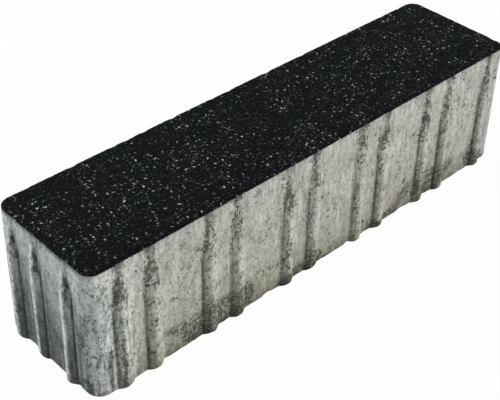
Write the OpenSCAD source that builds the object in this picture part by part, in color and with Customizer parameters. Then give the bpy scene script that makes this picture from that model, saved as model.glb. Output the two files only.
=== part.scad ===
// Concrete paver: a long, narrow paving stone with upright spacer ribs on its four sides.
// The stone lies on its bed, +Z up and its length along X, with the origin in the middle of the bed face.

/* [Stone] */
// Length of the stone at its bed, between the end faces, without the ribs
stone_length = 238; // [180:1:320]
// Width of the stone at its bed, between the long faces, without the ribs
stone_width = 58; // [50:1:100]
// Thickness of the stone, from its bed to its wearing face
stone_height = 60; // [40:1:100]
// How far each side leans in between the bed and the bevel, so that the mould lifts off
draft = 1; // [0.2:0.1:2]
// Radius of the four upright corners where the bevel starts, seen from above
corner_radius = 5.5; // [3:0.5:8]
// Width and drop of the small bevel round the wearing face
arris = 0.8; // [0.4:0.1:2]

/* [Spacer ribs] */
// Width of a rib where it leaves the side of the stone
rib_width = 8; // [6:0.5:11]
// How far a rib stands proud of the side
rib_projection = 1.8; // [1:0.1:3.5]
// Depth of a rib's pointed tip below the wearing face
rib_tip_drop = 3.6; // [3:0.1:8]
// Length of the taper from a rib's full section up to its tip
rib_runout = 14; // [8:0.5:20]

/* [Rib pattern] */
// Leading ribs along a long face, evenly spread
lead_count = 6; // [3:1:7]
// Distance of the outermost leading ribs from the end faces, at the bed
lead_margin = 13.8; // [13:0.1:16]
// Distance between the two ribs of a pair
pair_spacing = 14.4; // [10:0.1:18]
// Distance of an end face's lone rib from the long face on its side, at the bed
lone_margin = 15; // [14:0.1:18]
// Distance of an end face's pair of ribs from the other long face, at the bed
pair_margin = 10.2; // [10:0.1:13]

/* [Hidden] */
$fn = 96;

// How far a rib runs on past its tip, inside the stone, and past the bed, where it is trimmed
overrun = 1;

// Height at which the bevel starts
bevel_height = stone_height - arris;
// Angle of the sides from the upright
lean = atan(draft / bevel_height);

// Radius of the upright corners at the bed and round the wearing face
bed_corner_radius = corner_radius + draft;
top_corner_radius = corner_radius - arris;
// Distances between the centres of the corners, the same at every height
straight_length = stone_length - 2 * bed_corner_radius;
straight_width = stone_width - 2 * bed_corner_radius;

// A rib is the part of a round bar, laid against the side, that shows outside the stone
rib_radius = (pow(rib_width / 2, 2) + pow(rib_projection, 2)) / (2 * rib_projection);
rib_inset = rib_radius - rib_projection;
rib_full_height = stone_height - rib_tip_drop - rib_runout;
rib_taper_height = rib_runout + overrun;
rib_end_radius = rib_radius - rib_projection * rib_taper_height / rib_runout;

lead_pitch = (stone_length - 2 * lead_margin) / (lead_count - 1);
lead_places = [for (i = [0 : lead_count - 1]) lead_margin + i * lead_pitch];
// Each leading rib but the last is the first of a pair
second_places = [for (i = [0 : lead_count - 2]) lead_places[i] + pair_spacing];
long_face_places = concat(lead_places, second_places);

pair_place = stone_width - pair_margin;
end_face_places = [lone_margin, pair_place - pair_spacing, pair_place];

concrete_grey = "#a8aaa5";
facing_black = "#1d201f";

// A straight run of the stone whose two sides lean, by the radius that they round to at its ends
module leaning_run(length, core_width, foot_radius, head_radius, height) {
    foot = core_width / 2 + foot_radius;
    head = core_width / 2 + head_radius;
    linear_extrude(length, center = true)
        polygon([[-foot, 0], [foot, 0], [head, height], [-head, height]]);
}

// A quarter of a round corner with a leaning side
module leaning_corner(foot_radius, head_radius, height) {
    rotate_extrude(angle = 90)
        polygon([[0, 0], [foot_radius, 0], [head_radius, height], [0, height]]);
}

// A block with round corners and leaning sides: two crossing runs and four corners
module leaning_block(foot_radius, head_radius, height) {
    rotate([90, 0, 90])
        leaning_run(straight_length, straight_width, foot_radius, head_radius, height);
    rotate([90, 0, 0])
        leaning_run(straight_width, straight_length, foot_radius, head_radius, height);
    for (half_turn = [0, 180]) rotate(half_turn) {
        translate([straight_length / 2, straight_width / 2])
            leaning_corner(foot_radius, head_radius, height);
        translate([-straight_length / 2, straight_width / 2])
            rotate(90) leaning_corner(foot_radius, head_radius, height);
    }
}

// One spacer rib on a side that looks along -Y and meets the bed in the line y = 0
module spacer_rib() {
    rotate([-lean, 0, 0])
        translate([0, rib_inset, 0]) {
            translate([0, 0, -overrun])
                cylinder(h = rib_full_height + overrun, r = rib_radius);
            translate([0, 0, rib_full_height])
                cylinder(h = rib_taper_height, r1 = rib_radius, r2 = rib_end_radius);
        }
}

// The ribs of a long face and of the end face on its left
module ribs_of_two_faces() {
    for (place = long_face_places)
        translate([place - stone_length / 2, -stone_width / 2, 0])
            spacer_rib();
    for (place = end_face_places)
        translate([-stone_length / 2, place - stone_width / 2, 0])
            rotate(-90) spacer_rib();
}

// The space under the bed, which trims the feet of the ribs
module under_bed() {
    translate([-stone_length, -stone_width, -stone_height])
        cube([2 * stone_length, 2 * stone_width, stone_height]);
}

// The stone, cast in one piece: the other two faces repeat the pattern, half a turn round
module paver() {
    union() {
        color(concrete_grey) {
            leaning_block(bed_corner_radius, corner_radius, bevel_height);
            difference() {
                for (half_turn = [0, 180])
                    rotate(half_turn) ribs_of_two_faces();
                under_bed();
            }
        }
        color(facing_black)
            translate([0, 0, bevel_height])
                leaning_block(corner_radius, top_corner_radius, arris);
    }
}

paver();
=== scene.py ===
"""A concrete paver with a dark speckled wearing face and grey, weathered sides with spacer ribs."""

import math
from typing import NamedTuple

import bmesh
import bpy
from mathutils import Matrix, Vector, noise
from mathutils.bvhtree import BVHTree


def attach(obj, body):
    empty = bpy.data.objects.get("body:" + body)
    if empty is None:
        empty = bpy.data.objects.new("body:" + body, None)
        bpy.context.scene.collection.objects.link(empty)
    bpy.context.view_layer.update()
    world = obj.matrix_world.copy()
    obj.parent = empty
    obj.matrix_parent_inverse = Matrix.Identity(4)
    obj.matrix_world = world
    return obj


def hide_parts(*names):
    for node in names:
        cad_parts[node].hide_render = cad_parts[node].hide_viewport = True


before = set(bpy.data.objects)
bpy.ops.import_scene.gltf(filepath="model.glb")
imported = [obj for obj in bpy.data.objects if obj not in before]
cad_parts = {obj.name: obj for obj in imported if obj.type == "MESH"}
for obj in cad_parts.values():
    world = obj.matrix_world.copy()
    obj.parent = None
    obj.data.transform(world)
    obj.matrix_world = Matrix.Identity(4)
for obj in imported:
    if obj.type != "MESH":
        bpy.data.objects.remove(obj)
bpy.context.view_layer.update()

MM = 0.001
UP = Vector((0, 0, 1))
# Two places nearer than this are the same place
TOUCH = 0.01 * MM

# Mesh of the stone's skin: its cells, its eased edges, and the ring of cells that is kept round its bed
CELL = 0.75 * MM
CELL_UPRIGHT = 0.85 * MM
ARRIS_STEPS = 3
BED_ARRIS = 0.4 * MM
BED_ARRIS_STEPS = 2
BED_RING = 2.5 * MM
# Rays that find the ribs start this far outside the block and stay clear of its rims
CAST_REACH = 8 * MM
CAST_CLEAR = 0.3 * MM
# Height at which every rib has its full section, as a share of the stone's height
FULL_RIB_SHARE = 0.35
# The sides lean by less than this, and the run-out of a rib by more, as the upward part of the normal
RUNOUT_TILT = (0.05, 0.1)
# The bends of a rib are eased over this much of its height, up and down
RIB_EASE = 3 * MM
# What the mesh tells the material of each vertex
SKIN_SHARES = ("end", "rib", "flank", "lee", "tip", "void", "porous")

# Relief of the cast surface, all of it cut into the stone: size of the lumps and depth
WAVE_SIZE, WAVE_DEPTH = 20 * MM, 0.16 * MM
DRAG_SIZE, DRAG_STRETCH, DRAG_DEPTH = 2.4 * MM, 8, 0.12 * MM
GRIT_SIZE, GRIT_DEPTH = 1.3 * MM, 0.14 * MM
# Porous patches along the foot of the long faces
POROUS_SIZE, POROUS_DEPTH = 1.9 * MM, 0.45 * MM
POROUS_LEVELS, POROUS_PATCH = (5.4 * MM, 18 * MM), 17 * MM
POROUS_RANGE, POROUS_END_RANGE = (0.44, 0.6), (0.0, 0.3)
POROUS_SHIFT = Vector((30, 291, 147)) * MM
# Air voids: the cells that they lie in, the share of cells that has one, and their radii in cells
VOID_SIZE, VOID_DEPTH, VOID_SHARE = 4.6 * MM, 0.6 * MM, 0.3
VOID_RADII = (0.1, 0.3)
VOID_FLOOR_SHARE = 0.3
# Wear of the upper and lower edges
EDGE_REACH = 1.6 * MM
NICK_SIZE, NICK_DEPTH, NICK_GRIT = 4.5 * MM, 0.3 * MM, 0.3
NICK_RANGE = (0.55, 0.85)
CHIP_SIZE, CHIP_DEPTH = 7 * MM, 0.45 * MM
CHIP_RANGE = (0.5, 0.85)


def smooth_step(low, high, value):
    """0 below low, 1 above high and an even curve between them."""
    share = min(max((value - low) / (high - low), 0.0), 1.0)
    return share * share * (3 - 2 * share)


def level_noise(place, size):
    """Smooth noise from 0 to 1 with lumps of the given size."""
    return 0.5 + 0.5 * noise.noise(place / size)


class StoneSizes:
    """The plain stone's sizes below its bevel, read from the CAD solid. The ribs end lower than that."""

    def __init__(self, node):
        points = [vertex.co for vertex in node.data.vertices]
        self.height = max(p.z for p in points)
        self.shoulder = max(p.z for p in points if p.z < self.height - TOUCH)
        rim = [p for p in points if abs(p.z - self.shoulder) < TOUCH]
        self.half_length = max(p.x for p in rim)
        self.half_width = max(p.y for p in rim)
        self.straight_x = max(p.x for p in rim if p.y > self.half_width - TOUCH)
        corner = self.half_length - self.straight_x
        self.straight_y = self.half_width - corner
        self.arris = self.height - self.shoulder


def rim_edges(bm, height):
    """The edges of a block's upper or lower rim."""
    return [e for e in bm.edges if all(abs(v.co.z - height) < TOUCH for v in e.verts)]


def edges_along(bm, axis):
    """The edges that run along one axis."""
    others = [i for i in range(3) if i != axis]
    found = []
    for edge in bm.edges:
        run = edge.verts[1].co - edge.verts[0].co
        if all(abs(run[i]) < TOUCH for i in others):
            found.append(edge)
    return found


def plain_block(sizes):
    """A block with eased rims, cut into small cells apart from the middle of its bed."""
    bm = bmesh.new()
    bmesh.ops.create_cube(bm, size=1.0)
    full = Vector((2 * sizes.half_length, 2 * sizes.half_width, sizes.height))
    bmesh.ops.scale(bm, vec=full, verts=bm.verts)
    bmesh.ops.translate(bm, vec=(0, 0, sizes.height / 2), verts=bm.verts)
    rims = ((sizes.height, sizes.arris, ARRIS_STEPS), (0.0, BED_ARRIS, BED_ARRIS_STEPS))
    for height, offset, steps in rims:
        bmesh.ops.bevel(
            bm,
            geom=rim_edges(bm, height),
            offset=offset,
            segments=steps,
            profile=0.5,
            affect="EDGES",
            material=-1,
        )
    for axis, cell in enumerate((CELL, CELL, CELL_UPRIGHT)):
        bmesh.ops.subdivide_edges(
            bm,
            edges=edges_along(bm, axis),
            cuts=round(full[axis] / cell) - 1,
            use_grid_fill=True,
        )
    inner_x, inner_y = sizes.half_length - BED_RING, sizes.half_width - BED_RING
    middle = [
        face for face in bm.faces
        if all(v.co.z < TOUCH and abs(v.co.x) < inner_x and abs(v.co.y) < inner_y for v in face.verts)
    ]
    bmesh.ops.dissolve_faces(bm, faces=middle)
    return bm


class Skin:
    """What is known of one vertex of the stone's skin."""

    def __init__(self, sizes, place):
        beyond_x = abs(place.x) - sizes.straight_x
        beyond_y = abs(place.y) - sizes.straight_y
        side_x = math.copysign(1, place.x)
        side_y = math.copysign(1, place.y)
        inset_x = sizes.half_length - abs(place.x)
        inset_y = sizes.half_width - abs(place.y)
        self.inset = min(inset_x, inset_y)
        self.drop = sizes.height - place.z
        self.place = place.copy()
        if beyond_x > 0 and beyond_y > 0:
            # The block's square corner is drawn in to a round one
            self.outward = Vector((side_x * beyond_x, side_y * beyond_y, 0)).normalized()
            middle = Vector((side_x * sizes.straight_x, side_y * sizes.straight_y, place.z))
            self.place = middle + self.outward * max(beyond_x, beyond_y)
        elif inset_x < inset_y:
            self.outward = Vector((side_x, 0, 0))
        else:
            self.outward = Vector((0, side_y, 0))
        self.on_wall = self.inset < BED_ARRIS + TOUCH and place.z < sizes.shoulder + TOUCH
        # 0 on a long face, 1 on an end face and between them round a corner
        self.end = abs(self.outward.x)
        # Shares that only the vertices of the sides get
        self.rib = 0.0
        self.flank = 0.0
        self.lee = 0.0
        self.tip = 0.0
        self.void = 0.0
        self.porous = 0.0

    def cast(self, solid, height):
        """How far the CAD solid's side stands out from this vertex at a height, and its normal there."""
        start = self.place + self.outward * CAST_REACH
        start.z = height
        _, normal, _, distance = solid.ray_cast(start, -self.outward, 2 * CAST_REACH)
        return CAST_REACH - distance - self.inset, normal

    def follow_side(self, sizes, solid):
        """Moves a vertex of the block's side out to the CAD solid's side and its ribs."""
        self.rib, _ = self.cast(solid, FULL_RIB_SHARE * sizes.height)
        ease = min(RIB_EASE, self.place.z - CAST_CLEAR, sizes.shoulder - CAST_CLEAR - self.place.z)
        level = min(max(self.place.z, CAST_CLEAR), sizes.shoulder - CAST_CLEAR)
        hits = [self.cast(solid, level + step * max(ease, 0)) for step in (-1, 0, 1)]
        self.place += self.outward * sum(proud for proud, _ in hits) / len(hits)
        normal = sum((normal for _, normal in hits), Vector()).normalized()
        self.flank = abs(normal.dot(self.outward.cross(UP)))
        # Of a rib's two flanks, the lee one looks towards the corner at -X -Y or the one at +X +Y
        self.lee = self.flank if normal.x * normal.y > 0 else 0.0
        self.tip = smooth_step(*RUNOUT_TILT, normal.z)


def void_depth(place):
    """Depth of the scattered air voids, from 0 to 1."""
    distances, points = noise.voronoi(place / VOID_SIZE)
    chance = level_noise(points[0] * VOID_SIZE, CELL)
    if chance > VOID_SHARE:
        return 0.0
    smallest, largest = VOID_RADII
    radius = smallest + (largest - smallest) * chance / VOID_SHARE
    return 1 - smooth_step(VOID_FLOOR_SHARE * radius, radius, distances[0])


def side_relief(skin):
    """How deep the surface of a side lies at a vertex."""
    place = skin.place
    streak = Vector((place.x, place.y, place.z / DRAG_STRETCH))
    foot = 1 - smooth_step(*POROUS_LEVELS, place.z)
    patch = smooth_step(*POROUS_RANGE, level_noise(place + POROUS_SHIFT, POROUS_PATCH))
    skin.porous = foot * patch * (1 - smooth_step(*POROUS_END_RANGE, skin.end))
    skin.void = void_depth(place)
    depth = WAVE_DEPTH * level_noise(place, WAVE_SIZE)
    depth += DRAG_DEPTH * level_noise(streak, DRAG_SIZE)
    depth += skin.porous * POROUS_DEPTH * level_noise(place, POROUS_SIZE) ** 2
    depth += skin.void * VOID_DEPTH
    return depth


def relief(sizes, skin):
    """Moves a vertex of the skin into the stone, by what casting and handling left on it."""
    place = skin.place.copy()
    if skin.on_wall:
        skin.place -= skin.outward * side_relief(skin)
    elif skin.drop < sizes.arris + TOUCH:
        skin.place.z -= GRIT_DEPTH * level_noise(place, GRIT_SIZE)
    top_edge = 1 - smooth_step(0, EDGE_REACH, max(skin.drop, skin.inset))
    nick = smooth_step(*NICK_RANGE, level_noise(place, NICK_SIZE))
    nick += NICK_GRIT * level_noise(place, GRIT_SIZE)
    skin.place -= (skin.outward + UP) * top_edge * nick * NICK_DEPTH
    bed_edge = 1 - smooth_step(0, EDGE_REACH, max(skin.place.z, skin.inset))
    chip = smooth_step(*CHIP_RANGE, level_noise(place, CHIP_SIZE))
    skin.place -= (skin.outward - UP) * bed_edge * chip * CHIP_DEPTH


def merged_solid(node):
    """The CAD stone as a tree that rays can be cast at."""
    bm = bmesh.new()
    bm.from_mesh(node.data)
    bmesh.ops.remove_doubles(bm, verts=bm.verts, dist=TOUCH)
    tree = BVHTree.FromBMesh(bm)
    bm.free()
    return tree


def ribbed_skins(bm, sizes, solid):
    """The block's vertices, with those of its sides moved out to the CAD solid."""
    skins = [Skin(sizes, vertex.co) for vertex in bm.verts]
    sides = [skin for skin in skins if skin.on_wall]
    for skin in sides:
        skin.follow_side(sizes, solid)
    flat, crest = min(s.rib for s in sides), max(s.rib for s in sides)
    for skin in sides:
        skin.rib = (skin.rib - flat) / (crest - flat)
    return skins


def mesh_object(name, bm):
    """An object in the scene with the finished mesh."""
    mesh = bpy.data.meshes.new(name)
    bm.to_mesh(mesh)
    bm.free()
    made = bpy.data.objects.new(name, mesh)
    bpy.context.scene.collection.objects.link(made)
    return made


def weathered_stone(node, sizes):
    """The stone as one closed mesh, with the ribs of the CAD solid and the relief of cast concrete."""
    bm = plain_block(sizes)
    skins = ribbed_skins(bm, sizes, merged_solid(node))
    layers = {name: bm.verts.layers.float.new(name) for name in SKIN_SHARES}
    for vertex, skin in zip(bm.verts, skins):
        relief(sizes, skin)
        vertex.co = skin.place
        for name, layer in layers.items():
            vertex[layer] = getattr(skin, name)
    bmesh.ops.recalc_face_normals(bm, faces=bm.faces)
    for face in bm.faces:
        face.smooth = True
    return mesh_object("weathered_stone", bm)


class Value:
    """One output of a node. Sums on it are written as Python expressions."""

    def __init__(self, finish, socket):
        self.finish = finish
        self.socket = socket

    def maths(self, operation, *terms):
        """A Math node on values and numbers."""
        return self.finish.node("ShaderNodeMath", {"operation": operation}, dict(enumerate(terms)))

    def __add__(self, other):
        return self.maths("ADD", self, other)

    def __radd__(self, other):
        return self.maths("ADD", other, self)

    def __sub__(self, other):
        return self.maths("SUBTRACT", self, other)

    def __rsub__(self, other):
        return self.maths("SUBTRACT", other, self)

    def __mul__(self, other):
        return self.maths("MULTIPLY", self, other)

    def __rmul__(self, other):
        return self.maths("MULTIPLY", other, self)

    def __truediv__(self, other):
        return self.maths("DIVIDE", self, other)

    def __rtruediv__(self, other):
        return self.maths("DIVIDE", other, self)

    def __neg__(self):
        return self.maths("MULTIPLY", self, -1)

    def __abs__(self):
        return self.maths("ABSOLUTE", self)


class Pattern(NamedTuple):
    """A noise: the size of its lumps, its finer detail, how far it is drawn out upwards, and its shift."""

    size: float
    detail: float
    roughness: float
    stretch: float = 1
    shift: float = 0


# Blender's noise lies around this value
NOISE_MIDDLE = 0.5
BEND_DETAIL = 1.0
# Sockets of a Mix node that mixes colours
MIX_FACTOR, MIX_FIRST, MIX_SECOND, MIX_RESULT = 0, 6, 7, 2
WHITE = (1, 1, 1, 1)


class Finish:
    """A material, or the sky, that is built from nodes."""

    def __init__(self, owner):
        self.owner = owner
        owner.use_nodes = True
        self.tree = owner.node_tree
        self.tree.nodes.clear()

    def node(self, kind, settings=(), inputs=(), output=0):
        """Adds a node, with its settings and the values or links of its sockets, and gives its output."""
        made = self.tree.nodes.new(kind)
        for name, setting in dict(settings).items():
            setattr(made, name, setting)
        for name, value in dict(inputs).items():
            if isinstance(value, Value):
                self.tree.links.new(value.socket, made.inputs[name])
            else:
                made.inputs[name].default_value = value
        if isinstance(output, tuple):
            return [Value(self, made.outputs[name]) for name in output]
        return Value(self, made.outputs[output]) if made.outputs else None

    def place(self, stretch=1, shift=0):
        """Object coordinates, with the pattern stretched upwards and shifted to another part of the noise."""
        coordinates = self.node("ShaderNodeTexCoord", output="Object")
        inputs = {"Vector": coordinates, "Location": (shift, shift, shift), "Scale": (1, 1, 1 / stretch)}
        return self.node("ShaderNodeMapping", inputs=inputs)

    def axes(self):
        """The three object coordinates, as values."""
        return self.node("ShaderNodeSeparateXYZ", inputs={0: self.place()}, output=("X", "Y", "Z"))

    def channels(self, colour):
        """The three channels of a colour, as values."""
        return self.node("ShaderNodeSeparateColor", inputs={0: colour}, output=("Red", "Green", "Blue"))

    def attribute(self, name):
        """A share that the mesh gives each vertex."""
        return self.node("ShaderNodeAttribute", {"attribute_name": name}, output="Fac")

    def noise(self, pattern):
        """A noise around zero."""
        inputs = {
            "Vector": self.place(pattern.stretch, pattern.shift),
            "Scale": 1 / pattern.size,
            "Detail": pattern.detail,
            "Roughness": pattern.roughness,
        }
        return self.node("ShaderNodeTexNoise", inputs=inputs) - NOISE_MIDDLE

    def cells(self, place, size, dimensions, output):
        """A pattern of cells, each with a colour of its own to draw lots from."""
        settings = {"voronoi_dimensions": dimensions}
        return self.node("ShaderNodeTexVoronoi", settings, {"Vector": place, "Scale": 1 / size}, output)

    def vector(self, operation, first, second, output=0):
        """Maths on vectors."""
        return self.node("ShaderNodeVectorMath", {"operation": operation}, {0: first, 1: second}, output)

    def bent(self, place, size, reach):
        """Coordinates that wander by noise of the given size."""
        inputs = {"Vector": place, "Scale": 1 / size, "Detail": BEND_DETAIL}
        drift = self.node("ShaderNodeTexNoise", inputs=inputs, output="Color")
        around_zero = self.vector("SUBTRACT", drift, (NOISE_MIDDLE,) * 3)
        return self.vector("ADD", place, self.vector("MULTIPLY", around_zero, (reach,) * 3))

    def step(self, value, span):
        """0 where the value is below the span, 1 where it is above."""
        inputs = {"Value": value, "From Min": span[0], "From Max": span[1]}
        return self.node("ShaderNodeMapRange", {"interpolation_type": "SMOOTHSTEP"}, inputs)

    def blend(self, factor, first, second, way="MIX"):
        """A mix of two colours."""
        settings = {"data_type": "RGBA", "blend_type": way, "clamp_factor": True}
        inputs = {MIX_FACTOR: factor, MIX_FIRST: first, MIX_SECOND: second}
        return self.node("ShaderNodeMix", settings, inputs, MIX_RESULT)

    def shown(self):
        """1 for the rays that show a surface to the camera: straight, mirrored or through glass."""
        names = ("Is Camera Ray", "Is Glossy Ray", "Is Transmission Ray")
        straight, mirrored, through = self.node("ShaderNodeLightPath", output=names)
        return straight + mirrored + through


# Colours of the cement, and of what is laid over it or, as a tint, multiplied with it
PALE_CEMENT = (0.56, 0.56, 0.5, 1)
MID_CEMENT = (0.37, 0.372, 0.335, 1)
DEEP_CEMENT = (0.15, 0.152, 0.138, 1)
WARM_TINT = (1.0, 0.97, 0.91, 1)
COOL_TINT = (0.915, 0.955, 1.0, 1)
STEEL_TINT = (0.56, 0.63, 0.7, 1)
OLIVE_TINT = (0.24, 0.235, 0.172, 1)
# Blue-grey soot, also used for painted shade on the lee flanks of the ribs on the ends
SOOT_AND_SHADE_TINT = (0.22, 0.235, 0.245, 1)
# Pale lime bloom, also laid on as painted highlights on the crests and lit flanks of the ribs
LIME_BLOOM_AND_HIGHLIGHT = (0.72, 0.725, 0.69, 1)
# Painted shade in the creases beside the ribs, with some grime
CREASE_SHADE_AND_DIRT = (0.05, 0.048, 0.04, 1)
PORE_DARK = (0.03, 0.03, 0.026, 1)
FACING_DUST = (0.03, 0.033, 0.036, 1)

# Patterns that several layers of the sides share
CLOUD = Pattern(14 * MM, 3, 0.55)
SMEAR = Pattern(3.6 * MM, 3, 0.6, stretch=5)
MOTTLE = Pattern(2.6 * MM, 4, 0.68, stretch=1.4)
HAIR = Pattern(0.8 * MM, 2, 0.6, stretch=9)
GRAIN = Pattern(0.9 * MM, 3, 0.7)
PEBBLE = Pattern(1.5 * MM, 3, 0.6, stretch=1.3, shift=0.6)
BLOTCH = Pattern(2.6 * MM, 3, 0.65, stretch=2.2)
BLOTCH_RANGE = (-0.1, 0.12)

# Strips along the ends and along the long faces, which fade in between two distances from them
END_STRIP = (27 * MM, 9 * MM)
SIDE_STRIP = (14 * MM, 4 * MM)
# Spans of the vertices' shares
LONG_SIDE_RANGE = (0.3, 0.9)
END_FACE_RANGE = (0.6, 1.0)
LEE_RANGE = (0.0, 0.3)
PEBBLY_RIB_RANGE, PEBBLY_RIB = (0.0, 0.4), 0.6
# Levels are shares of the stone's height
LOW_LEVELS, LOW_WANDER = (0.0, 0.6), 0.3


class Side:
    """The grey sides while layers are laid on: where a point lies, the patterns and the colour so far."""

    def __init__(self, finish, sizes):
        self.finish = finish
        self.step = finish.step
        self.noise = finish.noise
        self.colour = DEEP_CEMENT
        self.find_places(sizes)
        self.draw_patterns()

    def find_places(self, sizes):
        """Where on the sides a point lies."""
        lengthwise, across, height = self.finish.axes()
        self.level = height / sizes.height
        self.end = self.finish.attribute("end")
        self.rib = self.finish.attribute("rib")
        self.flank = self.finish.attribute("flank")
        self.lee = self.finish.attribute("lee")
        self.tip = self.finish.attribute("tip")
        self.void = self.finish.attribute("void")
        self.porous = self.finish.attribute("porous")
        end_strip = [sizes.half_length - reach for reach in END_STRIP]
        side_strip = [sizes.half_width - reach for reach in SIDE_STRIP]
        self.near_end = self.step(abs(lengthwise), end_strip)
        self.near_side = self.step(abs(across), side_strip)
        # The two corners at the -X end are rougher than the others
        self.rough = self.step(-lengthwise, end_strip) * self.near_side
        self.long_side = 1 - self.step(self.end, LONG_SIDE_RANGE)
        self.end_face = self.step(self.end, END_FACE_RANGE)
        self.lee_side = self.step(self.lee, LEE_RANGE)
        # The other flank of a rib
        self.lit_flank = self.flank - self.lee

    def draw_patterns(self):
        """The patterns that several layers share."""
        self.cloud = self.noise(CLOUD)
        self.smear = self.noise(SMEAR)
        self.mottle = self.noise(MOTTLE)
        self.hair = self.noise(HAIR)
        self.grain = self.noise(GRAIN)
        self.blotch = self.step(self.noise(BLOTCH), BLOTCH_RANGE)
        self.low = 1 - self.step(self.level + self.cloud * LOW_WANDER, LOW_LEVELS)
        self.pebble = self.noise(PEBBLE)
        on_ribs = self.step(self.rib, PEBBLY_RIB_RANGE) * self.long_side * PEBBLY_RIB
        self.pebbly = self.rough + (1 - self.rough) * on_ribs

    def cover(self, amount, colour):
        """Lays a colour over the colour so far."""
        self.colour = self.finish.blend(amount, self.colour, colour)

    def tint(self, amount, colour):
        """Multiplies the colour so far with a tint."""
        self.colour = self.finish.blend(amount, self.colour, colour, "MULTIPLY")


# Clean cement: how pale it is, and what each pattern adds to that
TONE, ROUGH_TONE = 0.62, 0.2
CLOUD_TONE, SMEAR_TONE, PEBBLE_TONE = 0.45, 0.8, 2.4
MOTTLE_TONE, MOTTLE_COARSE = 1.2, 0.8
GRAIN_TONE, GRAIN_COARSE = 1.5, 1.3
END_COARSENESS = 0.6
MID_TONES, PALE_TONES = (0.05, 0.6), (0.5, 1.05)


def clean_cement(side):
    """Bare cement, deep to pale by its tone, with more contrast at the rough corners and on the ends."""
    coarse = side.rough + side.end * (1 - side.rough) * END_COARSENESS
    tone = TONE + side.rough * ROUGH_TONE + side.cloud * CLOUD_TONE + side.smear * SMEAR_TONE
    tone = tone + side.mottle * (MOTTLE_TONE + coarse * MOTTLE_COARSE)
    tone = tone + side.grain * (GRAIN_TONE + coarse * GRAIN_COARSE)
    tone = tone + side.pebble * side.pebbly * PEBBLE_TONE
    side.cover(side.step(tone, MID_TONES), MID_CEMENT)
    side.cover(side.step(tone, PALE_TONES), PALE_CEMENT)


# Tints and bloom
WARM = Pattern(10 * MM, 2, 0.5, stretch=1.6, shift=0.9)
WARM_RANGE, WARM_PATCH, WARM_LOW = (-0.02, 0.16), 0.6, 0.7
END_BLOOM_LEVELS, END_BLOOM_WANDER = (0.35, 0.8), 0.5
END_BLOOM, END_BLOOM_LUMPS, LUMP_RANGE = 0.14, 0.42, (-0.2, 0.15)
COOL_LEVELS, COOL_UPPER = (0.6, 1.0), 0.5
HAIR_RANGE, HAIR_BLOOM = (0.02, 0.18), 0.15
HAIR_LEVELS, HAIR_UPPER = (0.77, 0.95), 0.45
DRIP = Pattern(1.8 * MM, 2, 0.5, stretch=8, shift=0.2)
DRIP_RANGE, DRIP_BLOOM = (0.1, 0.24), 0.5


def tints_and_bloom(side):
    """Warm and cool clouds, and lime that blooms in lumps on the ends and in upright lines all round."""
    warm = side.step(side.noise(WARM), WARM_RANGE) * WARM_PATCH + side.low * WARM_LOW
    side.tint(warm * (1 - side.near_end), WARM_TINT)
    lumps = END_BLOOM + side.step(side.mottle + side.grain, LUMP_RANGE) * END_BLOOM_LUMPS
    upper = side.step(side.level + side.smear * END_BLOOM_WANDER, END_BLOOM_LEVELS)
    side.cover(side.end_face * upper * lumps, LIME_BLOOM_AND_HIGHLIGHT)
    side.tint(side.near_end + side.step(side.level, COOL_LEVELS) * COOL_UPPER, COOL_TINT)
    bloom = HAIR_BLOOM + side.step(side.level, HAIR_LEVELS) * HAIR_UPPER
    side.cover(side.step(side.hair, HAIR_RANGE) * bloom, LIME_BLOOM_AND_HIGHLIGHT)
    side.cover(side.step(side.noise(DRIP), DRIP_RANGE) * DRIP_BLOOM, LIME_BLOOM_AND_HIGHLIGHT)


# Wear of the corners
ROUNDING_RANGE = (0.05, 0.2)
PATCH = Pattern(5 * MM, 4, 0.6, stretch=2, shift=0.5)
PATCH_RANGE, PATCH_GRAIN_RANGE = (-0.1, 0.1), (-0.1, 0.1)
CORNER_BLOOM, PATCH_BLOOM = 0.05, 0.6
PALE_GRAIN_RANGE, PALE_GRAINS = (0.0, 0.16), 0.85
STEEL = Pattern(7 * MM, 3, 0.55, stretch=1.8, shift=0.35)
STEEL_RANGE, STEEL_DEPTH = (-0.08, 0.12), 0.28
SCRAPE = Pattern(3.2 * MM, 3, 0.6, stretch=7, shift=0.4)
SCRAPE_LEVELS = (0.35, 0.8)
DARK_SCRAPE_RANGE, DARK_SCRAPE = (-0.02, 0.1), 0.8
PALE_SCRAPE_RANGE, PALE_SCRAPE = (-0.14, -0.02), 0.75


def corner_wear(side):
    """Lime on the upright corners, and pale grains, steel-grey clouds and scrapes on the rough ones."""
    rounding = side.step(side.end * (1 - side.end), ROUNDING_RANGE)
    patch = side.step(side.noise(PATCH), PATCH_RANGE) * side.step(side.grain, PATCH_GRAIN_RANGE)
    side.cover(rounding * (CORNER_BLOOM + patch * PATCH_BLOOM), LIME_BLOOM_AND_HIGHLIGHT)
    side.cover(side.step(side.pebble, PALE_GRAIN_RANGE) * side.rough * PALE_GRAINS, LIME_BLOOM_AND_HIGHLIGHT)
    side.tint(side.step(side.noise(STEEL), STEEL_RANGE) * side.rough * STEEL_DEPTH, STEEL_TINT)
    scrape = side.noise(SCRAPE)
    lower = side.rough * (1 - side.step(side.level, SCRAPE_LEVELS))
    side.tint(side.step(scrape, DARK_SCRAPE_RANGE) * lower * DARK_SCRAPE, SOOT_AND_SHADE_TINT)
    side.cover((1 - side.step(scrape, PALE_SCRAPE_RANGE)) * lower * PALE_SCRAPE, LIME_BLOOM_AND_HIGHLIGHT)


# Soot on the ends and dirt along the foot
SOOT = Pattern(6 * MM, 3, 0.6, stretch=3, shift=0.5)
SOOT_LEVELS, SOOT_WANDER = (0.05, 0.85), 0.8
SOOT_DEPTH, SOOT_CORNER = 0.66, 0.35
SPLASH_LEVELS, SPLASH_WANDER = (0.0, 0.15), 0.1
FOOT_LOW, FOOT_SPLASH, FOOT_END = 0.3, 0.42, 0.5


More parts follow.
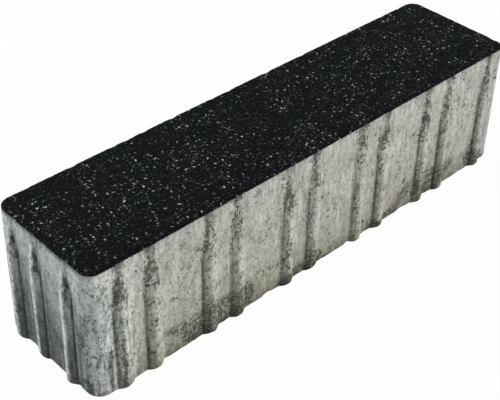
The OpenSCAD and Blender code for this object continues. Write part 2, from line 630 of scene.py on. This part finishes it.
def soot_and_foot(side):
    """Soot on the lower part of the ends, and olive dirt along the foot of the long faces."""
    upper = side.step(side.level + side.noise(SOOT) * SOOT_WANDER, SOOT_LEVELS)
    soot = side.end_face * (1 - upper)
    side.tint(soot * (SOOT_DEPTH - side.near_side * SOOT_CORNER), SOOT_AND_SHADE_TINT)
    splash = 1 - side.step(side.level + side.mottle * SPLASH_WANDER, SPLASH_LEVELS)
    foot = side.low * FOOT_LOW + splash * FOOT_SPLASH
    side.tint(foot * side.long_side * (1 - side.near_end * FOOT_END), OLIVE_TINT)


# Stains on the tips of the ribs
TAPER_LEVELS, STAIN_LEVELS, STAIN_SPREAD = (0.68, 0.98), (0.6, 0.78), (-0.05, 0.35)
STAIN, STAIN_BLOTCH, STAIN_LEE_SHADE, STAIN_LEE_SHADE_END = 0.16, 0.5, 0.2, 0.15
STAIN_LONG_SIDE, STAIN_HANDLED = 0.36, 0.74
TRAIL_RIB_RANGE, TRAIL_LEVELS = (0.5, 1.0), (0.78, 0.9)
TRAIL, TRAIL_BLOTCH, TRAIL_END = 0.25, 0.35, 0.4


def rib_tips(side):
    """Dark stains on the pointed tips of the ribs, deeper on their lee flanks where that is painted shade,
    with a trail up to the top edge.
    """
    on_tip = side.step(side.rib - side.step(side.level, TAPER_LEVELS), STAIN_SPREAD)
    on_tip = on_tip * side.step(side.level, STAIN_LEVELS)
    # The extra darkening on the lee flank of a tip is painted shade
    stain_and_shade = STAIN + side.blotch * STAIN_BLOTCH + side.lee_side * (STAIN_LEE_SHADE + side.end * STAIN_LEE_SHADE_END)
    handled = side.rough + side.end * (1 - side.rough)
    side.tint(on_tip * stain_and_shade * (STAIN_LONG_SIDE + handled * STAIN_HANDLED), OLIVE_TINT)
    on_trail = side.step(side.rib, TRAIL_RIB_RANGE) * side.step(side.level, TRAIL_LEVELS)
    trail = (TRAIL + side.blotch * TRAIL_BLOTCH) * (1 - side.end * TRAIL_END)
    side.tint(on_trail * trail, OLIVE_TINT)


# Dust of the facing under the top edge
SMUDGE_RIB_RANGE, SMUDGE_LEVELS = (0.3, 0.9), (0.92, 0.98)
SMUDGE, SMUDGE_BLOTCH = 0.3, 0.35
HAZE_LEVELS, HAZE_WANDER = (0.945, 0.995), 0.04
HAZE, HAZE_END = 0.15, 0.55


def facing_dust(side):
    """Smudges of the dark facing above the ribs, and a thin haze of it all along the top edge."""
    above_rib = side.step(side.rib, SMUDGE_RIB_RANGE) * side.step(side.level, SMUDGE_LEVELS)
    side.cover(above_rib * (SMUDGE + side.blotch * SMUDGE_BLOTCH) * side.long_side, FACING_DUST)
    haze = side.step(side.level + side.smear * HAZE_WANDER, HAZE_LEVELS)
    side.cover(haze * (HAZE + side.end * HAZE_END), FACING_DUST)


# Painted shade on the lee flanks of the ribs, and painted highlights on their crests and lit flanks
LEE_SHADE, LEE_SHADE_BLOTCH = 0.06, 0.2
LEE_SHADE_END, LEE_SHADE_END_LEVELS, LEE_SHADE_END_UPPER = 0.48, (0.25, 0.55), 0.33
LEE_SHADE_LOW, LEE_SHADE_LOW_LEVELS = 0.25, (0.35, 0.75)
HIGHLIGHT_PATCH_RANGE, HIGHLIGHT_PATCH_GRAIN = (-0.08, 0.1), 0.8
CREST_RIB_RANGE, CREST_LEE_RANGE, CREST_LEVELS = (0.5, 0.9), (0.0, 0.15), (0.65, 0.8)
CREST_HIGHLIGHT, CREST_HIGHLIGHT_END = 0.2, 0.6
LIT_RANGE, LIT, LIT_HIGHLIGHT_PATCH = (0.03, 0.2), 0.3, 0.4


def rib_flanks(side):
    """Painted shade, with some grime, on the lee flanks of the ribs, and painted highlights in pale patches
    on their crests and lit flanks.
    """
    # The lee flanks face away from the lamps: their darkening is painted shade with some grime, deeper low
    # down on the ends and the long faces
    shade_and_dirt = side.finish.blend(side.long_side, SOOT_AND_SHADE_TINT, OLIVE_TINT)
    on_end = side.end * (LEE_SHADE_END - side.step(side.level, LEE_SHADE_END_LEVELS) * LEE_SHADE_END_UPPER)
    on_long_side = side.long_side * (1 - side.step(side.level, LEE_SHADE_LOW_LEVELS)) * LEE_SHADE_LOW
    depth = LEE_SHADE + side.blotch * LEE_SHADE_BLOTCH + on_end + on_long_side
    side.tint(side.lee_side * depth, shade_and_dirt)
    # Pale patches on the crests, and on the flanks of the ribs on the ends that face the lamps, are painted
    # highlights
    highlight_patches = side.step(side.mottle + side.grain * HIGHLIGHT_PATCH_GRAIN, HIGHLIGHT_PATCH_RANGE)
    crest = side.step(side.rib, CREST_RIB_RANGE) * (1 - side.step(side.lee, CREST_LEE_RANGE))
    crest = crest * (1 - side.step(side.level, CREST_LEVELS))
    side.cover(crest * highlight_patches * (CREST_HIGHLIGHT + side.end * CREST_HIGHLIGHT_END), LIME_BLOOM_AND_HIGHLIGHT)
    lit = side.step(side.lit_flank, LIT_RANGE) * side.end_face
    side.cover(lit * (LIT + highlight_patches * LIT_HIGHLIGHT_PATCH), LIME_BLOOM_AND_HIGHLIGHT)


# Painted shade in the creases beside the ribs, and painted highlights on their lit flanks
BROKEN_RANGE = (-0.15, 0.1)
FADED_LEVELS, FADED = (0.6, 0.75), 0.6
CREASE_LEE_RANGE, CREASE, CREASE_BROKEN = (0.5, 0.68), 0.48, 0.27
GUTTER_LEE_RANGE, GUTTER_RIB_RANGE = (0.08, 0.35), (0.25, 0.55)
GUTTER, GUTTER_BROKEN = 0.75, 0.2
LINE_RANGE, LINE, LINE_END = (0.4, 0.7), 0.08, 0.22
STREAK = Pattern(4 * MM, 3, 0.6, stretch=5, shift=0.8)
STREAK_RANGE, GLINT_RANGE, GLINT = (-0.02, 0.14), (0.2, 0.5), 0.45


def rib_creases(side):
    """Painted shade, with some grime, in the lines where the ribs leave the sides, and broken streaks of
    painted highlight on their lit flanks.
    """
    broken = side.step(side.smear, BROKEN_RANGE)
    faded = 1 - side.step(side.level, FADED_LEVELS) * FADED
    # Dark lines at the foot of the lee flanks, wider on the ends, are painted shade in the creases, with some
    # grime
    crease = side.step(side.lee, CREASE_LEE_RANGE) * (CREASE + broken * CREASE_BROKEN)
    gutter = side.step(side.lee, GUTTER_LEE_RANGE) * (1 - side.step(side.rib, GUTTER_RIB_RANGE))
    gutter = gutter * (GUTTER + broken * GUTTER_BROKEN)
    side.cover(crease * faded * side.long_side + gutter * side.end, CREASE_SHADE_AND_DIRT)
    # A fainter dark line on both flanks is painted shade too
    line = side.step(side.flank, LINE_RANGE) * broken
    side.cover(line * (LINE + side.end * LINE_END), CREASE_SHADE_AND_DIRT)
    # Broken streaks of painted highlight on the lit flanks of the ribs on the long faces
    streak = side.step(side.noise(STREAK), STREAK_RANGE)
    side.cover(side.step(side.lit_flank, GLINT_RANGE) * side.long_side * streak * GLINT, LIME_BLOOM_AND_HIGHLIGHT)


# Pits of four kinds, and pale specks. Most crowd together in places and on the ribs
CROWD = Pattern(9 * MM, 2, 0.6)
CROWD_RANGE, CROWD_RIB_RANGE, CROWD_RIB = (0.0, 0.18), (0.0, 0.3), 0.4
PORE = Pattern(1.7 * MM, 4, 0.7, shift=0.3)
PORE_RANGE, PORE_CROWD, PORE_POROUS, PORE_TIP = (0.155, 0.21), 0.1, 0.06, 0.09
ROUND_PIT_CELL, ROUND_PIT_RADII, ROUND_PIT_SHIFT = 1.9 * MM, (0.1, 0.4), 0.17
ROUND_PIT_BEND_SIZE, ROUND_PIT_BEND = 0.9 * MM, 1.6 * MM
ROUND_PIT_SHARE, ROUND_PIT_CROWD, ROUND_PIT_DEPTH = 0.05, 0.15, 0.8
ROUND_PIT_RIM, ROUND_PIT_CHANCE = (0.5, 1.0), (0.98, 1.0)
COARSE_PIT = Pattern(3.2 * MM, 4, 0.7, shift=0.93)
COARSE_PIT_RANGE, COARSE_PIT_CROWD, COARSE_PIT_END_RANGE = (0.17, 0.22), 0.08, (0.3, 0.7)
RIDDLED = Pattern(1.5 * MM, 3, 0.75, stretch=1.2, shift=0.6)
RIDDLED_RANGE, RIDDLED_POROUS_RANGE = (-0.015, 0.045), (0.1, 0.5)
SPECK = Pattern(1.2 * MM, 2, 0.6, shift=0.7)
SPECK_RANGE, SPECK_CROWD, SPECK_BLOOM, SPECK_END = (0.15, 0.22), 0.06, 0.5, 0.3
POROUS_TINT, PIT_DARKNESS = 0.3, 0.7
VOID_RANGE, VOID_DARKNESS = (0.15, 0.8), 0.6


def joined(first, second):
    """Two masks as one."""
    return first + (1 - first) * second


def round_pits(finish, crowd):
    """Round pits with ragged rims, in some cells of a pattern."""
    place = finish.bent(finish.place(shift=ROUND_PIT_SHIFT), ROUND_PIT_BEND_SIZE, ROUND_PIT_BEND)
    distance, lot = finish.cells(place, ROUND_PIT_CELL, "3D", ("Distance", "Color"))
    chance, share, _ = finish.channels(lot)
    smallest, largest = ROUND_PIT_RADII
    reach = distance / (smallest + share * (largest - smallest))
    chosen = finish.step(chance + (ROUND_PIT_SHARE + crowd * ROUND_PIT_CROWD), ROUND_PIT_CHANCE)
    return (1 - finish.step(reach, ROUND_PIT_RIM)) * chosen


def pits_and_specks(side):
    """Dark pits and voids and pale specks over the whole of the sides. Gives the pits and the specks."""
    side.tint(side.porous * POROUS_TINT, OLIVE_TINT)
    on_ribs = side.step(side.rib, CROWD_RIB_RANGE) * CROWD_RIB * side.long_side
    crowd = side.step(side.noise(CROWD), CROWD_RANGE) + on_ribs
    pores = side.noise(PORE) + crowd * PORE_CROWD + side.porous * PORE_POROUS + side.tip * PORE_TIP
    pits = side.step(pores, PORE_RANGE)
    pits = joined(pits, round_pits(side.finish, crowd) * ROUND_PIT_DEPTH)
    coarse = side.step(side.noise(COARSE_PIT) + crowd * COARSE_PIT_CROWD, COARSE_PIT_RANGE)
    pits = joined(pits, coarse * (1 - side.step(side.end, COARSE_PIT_END_RANGE)))
    riddled = side.step(side.noise(RIDDLED), RIDDLED_RANGE)
    pits = joined(pits, riddled * side.step(side.porous, RIDDLED_POROUS_RANGE))
    specks = side.step(side.noise(SPECK) + crowd * SPECK_CROWD, SPECK_RANGE)
    side.cover(specks * (SPECK_BLOOM - side.end * SPECK_END), LIME_BLOOM_AND_HIGHLIGHT)
    # The dark in the pits and voids is painted shade in these small hollows
    side.cover(pits * PIT_DARKNESS, PORE_DARK)
    side.cover(side.step(side.void, VOID_RANGE) * VOID_DARKNESS, PORE_DARK)
    return pits, specks


# How high the patterns of the sides stand, as shares of the bump
HAIR_RELIEF, MOTTLE_RELIEF, GRAIN_RELIEF, PEBBLE_RELIEF = 0.2, 1.2, 0.6, 1.2
SPECK_RELIEF, PIT_RELIEF = 0.25, 0.8


def cement(finish, sizes):
    """Colour and height of the grey sides, layer by layer."""
    side = Side(finish, sizes)
    clean_cement(side)
    tints_and_bloom(side)
    corner_wear(side)
    soot_and_foot(side)
    rib_tips(side)
    facing_dust(side)
    rib_flanks(side)
    rib_creases(side)
    pits, specks = pits_and_specks(side)
    height = side.hair * HAIR_RELIEF + side.mottle * MOTTLE_RELIEF + side.grain * GRAIN_RELIEF
    height = height + side.pebble * side.pebbly * PEBBLE_RELIEF
    height = height + specks * SPECK_RELIEF - pits * PIT_RELIEF
    return side.colour, height


class Fleck(NamedTuple):
    """One size of mica fleck: the cells that it lies in, the share of cells that has one, and its look."""

    cell: float
    share: float
    half_length: float
    half_breadth: float
    colour: tuple
    strength: float


# The wearing face
FACING_BLACK = (0.0038, 0.0041, 0.0049, 1)
FACING_GREEN = (0.003, 0.0048, 0.0052, 1)
FLECK_GREY = (0.12, 0.125, 0.13, 1)
FLECK_WHITE = (0.8, 0.82, 0.83, 1)
FACING_CLOUD, FACING_CLOUD_RANGE = Pattern(12 * MM, 2, 0.5), (-0.05, 0.15)
FACING_GRAIN, FACING_GRAIN_RANGE = Pattern(0.8 * MM, 2, 0.6), (0.0, 0.25)
FACING_GRAIN_GREY, FACING_RELIEF = 0.12, 0.8
FLECK_CROWD, FLECK_CROWD_RANGE = Pattern(8 * MM, 2, 0.5), (-0.15, 0.15)
FLECK_LEAST, FLECK_CROWDED = 0.25, 0.75
FLECK_BEND_SIZE, FLECK_BEND = 0.6 * MM, 0.9 * MM
FLECK_RIM, FLECK_CHANCE_EASE = (0.6, 1.0), 0.02
FLECKS = (
    Fleck(1.0 * MM, 0.6, 0.4 * MM, 0.2 * MM, FLECK_GREY, 0.9),
    Fleck(1.6 * MM, 0.5, 0.55 * MM, 0.24 * MM, FLECK_WHITE, 0.35),
    Fleck(2.7 * MM, 0.5, 0.7 * MM, 0.3 * MM, FLECK_WHITE, 0.9),
)


def slivers(finish, place, fleck):
    """Slivers of mica, each turned its own way: where they are, and how bright each one is."""
    middle, lot = finish.cells(place, fleck.cell, "2D", ("Position", "Color"))
    chance, turn, bright = finish.channels(lot)
    offset = finish.vector("SUBTRACT", place, middle)
    turned = finish.node(
        "ShaderNodeVectorRotate", {"rotation_type": "Z_AXIS"}, {"Vector": offset, "Angle": turn * math.tau}
    )
    squeezed = finish.vector("MULTIPLY", turned, (1 / fleck.half_length, 1 / fleck.half_breadth, 0))
    distance = finish.vector("LENGTH", squeezed, (0, 0, 0), "Value")
    bare_share = 1 - fleck.share
    chosen = finish.step(chance, (bare_share, bare_share + FLECK_CHANCE_EASE))
    return (1 - finish.step(distance, FLECK_RIM)) * chosen, bright


def facing(finish):
    """Colour and height of the dark wearing face, with mica flecks of three sizes."""
    cloud = finish.step(finish.noise(FACING_CLOUD), FACING_CLOUD_RANGE)
    colour = finish.blend(cloud, FACING_BLACK, FACING_GREEN)
    grain = finish.noise(FACING_GRAIN)
    colour = finish.blend(finish.step(grain, FACING_GRAIN_RANGE) * FACING_GRAIN_GREY, colour, FLECK_GREY)
    crowd = FLECK_LEAST + finish.step(finish.noise(FLECK_CROWD), FLECK_CROWD_RANGE) * FLECK_CROWDED
    place = finish.bent(finish.place(), FLECK_BEND_SIZE, FLECK_BEND)
    for fleck in FLECKS:
        there, bright = slivers(finish, place, fleck)
        colour = finish.blend(there * bright * bright * fleck.strength * crowd, colour, fleck.colour)
    return colour, grain * FACING_RELIEF


# The ragged line between the sides and the facing, with its drop and its rise at the ends in bevels
RIM = Pattern(1.4 * MM, 2, 0.6)
RIM_RAGGED, RIM_RANGE = 0.5 * MM, (-0.25 * MM, 0.2 * MM)
RIM_DROP, RIM_END_RISE = 1.05, 0.3
BUMP_HEIGHT = 0.55 * MM
SIDE_ROUGHNESS, FACING_ROUGHNESS = 0.92, 0.72
SPECULAR_LEVEL = 0.015


def cast_concrete(sizes):
    """The stone's one material: grey sides below the rim, dark facing above it."""
    finish = Finish(bpy.data.materials.new("cast_concrete"))
    side_colour, side_height = cement(finish, sizes)
    top_colour, top_height = facing(finish)
    _, _, level = finish.axes()
    rim = sizes.height - RIM_DROP * sizes.arris + finish.attribute("end") * (RIM_END_RISE * sizes.arris)
    above = finish.step(level + finish.noise(RIM) * RIM_RAGGED - rim, RIM_RANGE)
    height = side_height + (top_height - side_height) * above
    bump = {"Strength": 1.0, "Distance": BUMP_HEIGHT, "Height": height}
    shader = finish.node(
        "ShaderNodeBsdfPrincipled",
        inputs={
            "Base Color": finish.blend(above, side_colour, top_colour),
            "Roughness": SIDE_ROUGHNESS + above * (FACING_ROUGHNESS - SIDE_ROUGHNESS),
            "Specular IOR Level": SPECULAR_LEVEL,
            "Normal": finish.node("ShaderNodeBump", inputs=bump, output="Normal"),
        },
    )
    finish.node("ShaderNodeOutputMaterial", inputs={"Surface": shader})
    return finish.owner


# The photograph's viewpoint
PHOTO_WIDTH = 500
SENSOR_WIDTH = 36.0
FOCAL_PIXELS = 1086.9
CAMERA_AZIMUTH = math.radians(-44.44)
CAMERA_ELEVATION = math.radians(38.32)
CAMERA_ROLL = math.radians(-1.73)
CAMERA_DISTANCE = 448.4 * MM
CAMERA_TARGET = Vector((-20.8, -5.8, 30.0)) * MM
CAMERA_CLIP = 10 * MM


class Lamp(NamedTuple):
    """A square lamp that looks at the stone: where it stands, seen from there, its size, watts and colour."""

    name: str
    direction: tuple
    size: float
    power: float
    colour: tuple


# The studio
LAMPS = (
    Lamp("right_lamp", (0.85, -0.62, 0.32), 0.8, 38, (1.0, 0.98, 0.92)),
    Lamp("left_lamp", (-0.25, 0.96, 0.28), 0.6, 56, (0.92, 0.975, 1.0)),
    Lamp("front_lamp", (-0.6, -0.8, 0.3), 1.0, 16, (0.95, 0.98, 1.0)),
)
LAMP_DISTANCE = 2.0
SKY_COLOUR, SKY_STRENGTH = (0.92, 0.97, 1.0, 1), 0.24
FLOOR_RADIUS, FLOOR_SIDES = 4.0, 64
FLOOR_GREY = (0.4, 0.4, 0.4, 1)
# The floor's own white, and its share in what the camera sees. The rest is lit paint, which takes the shadow
FLOOR_WHITE, FLOOR_WHITE_SHARE = 1.03, 0.94


def stand(name, data, place, turn):
    """Puts a camera or a lamp into the scene."""
    made = bpy.data.objects.new(name, data)
    made.matrix_world = Matrix.Translation(place) @ turn.to_4x4()
    bpy.context.scene.collection.objects.link(made)
    return made


def photo_camera():
    """The camera at the photograph's viewpoint."""
    azimuth, elevation = CAMERA_AZIMUTH, CAMERA_ELEVATION
    back = Vector((
        math.sin(azimuth) * math.cos(elevation),
        -math.cos(azimuth) * math.cos(elevation),
        math.sin(elevation),
    ))
    level_right = UP.cross(back).normalized()
    level_up = back.cross(level_right)
    right = level_right * math.cos(CAMERA_ROLL) - level_up * math.sin(CAMERA_ROLL)
    up = back.cross(right)
    data = bpy.data.cameras.new("photo_camera")
    data.sensor_width = SENSOR_WIDTH
    data.lens = FOCAL_PIXELS / PHOTO_WIDTH * SENSOR_WIDTH
    data.clip_start = CAMERA_CLIP
    turn = Matrix((right, up, back)).transposed()
    bpy.context.scene.camera = stand("photo_camera", data, CAMERA_TARGET + back * CAMERA_DISTANCE, turn)


def soft_lamp(lamp):
    """Adds a lamp."""
    data = bpy.data.lights.new(lamp.name, "AREA")
    data.size = lamp.size
    data.energy = lamp.power
    data.color = lamp.colour
    towards = Vector(lamp.direction).normalized()
    stand(lamp.name, data, towards * LAMP_DISTANCE, towards.to_track_quat("Z", "Y").to_matrix())


def even_sky():
    """Weak light from all round, which the camera sees as white."""
    finish = Finish(bpy.data.worlds.new("even_sky"))
    sky = finish.node("ShaderNodeBackground", inputs={"Color": SKY_COLOUR, "Strength": SKY_STRENGTH})
    white = finish.node("ShaderNodeBackground", inputs={"Color": WHITE})
    surface = finish.node("ShaderNodeMixShader", inputs={0: finish.shown(), 1: sky, 2: white})
    finish.node("ShaderNodeOutputWorld", inputs={"Surface": surface})
    bpy.context.scene.world = finish.owner


def pale_floor():
    """The floor that the stone lies on."""
    bm = bmesh.new()
    bmesh.ops.create_circle(bm, cap_ends=True, segments=FLOOR_SIDES, radius=FLOOR_RADIUS)
    floor = mesh_object("pale_floor", bm)
    finish = Finish(bpy.data.materials.new("floor_paint"))
    matt = finish.node("ShaderNodeBsdfDiffuse", inputs={"Color": FLOOR_GREY})
    glow = finish.node("ShaderNodeEmission", inputs={"Color": WHITE, "Strength": FLOOR_WHITE})
    white = finish.shown() * FLOOR_WHITE_SHARE
    surface = finish.node("ShaderNodeMixShader", inputs={0: white, 1: matt, 2: glow})
    finish.node("ShaderNodeOutputMaterial", inputs={"Surface": surface})
    floor.data.materials.append(finish.owner)


bpy.context.scene.view_settings.view_transform = "Standard"
photo_camera()
for studio_lamp in LAMPS:
    soft_lamp(studio_lamp)
even_sky()
pale_floor()

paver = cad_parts["paver"]
stone_sizes = StoneSizes(paver)
stone = weathered_stone(paver, stone_sizes)
stone.data.materials.append(cast_concrete(stone_sizes))
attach(stone, "root")
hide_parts("paver")
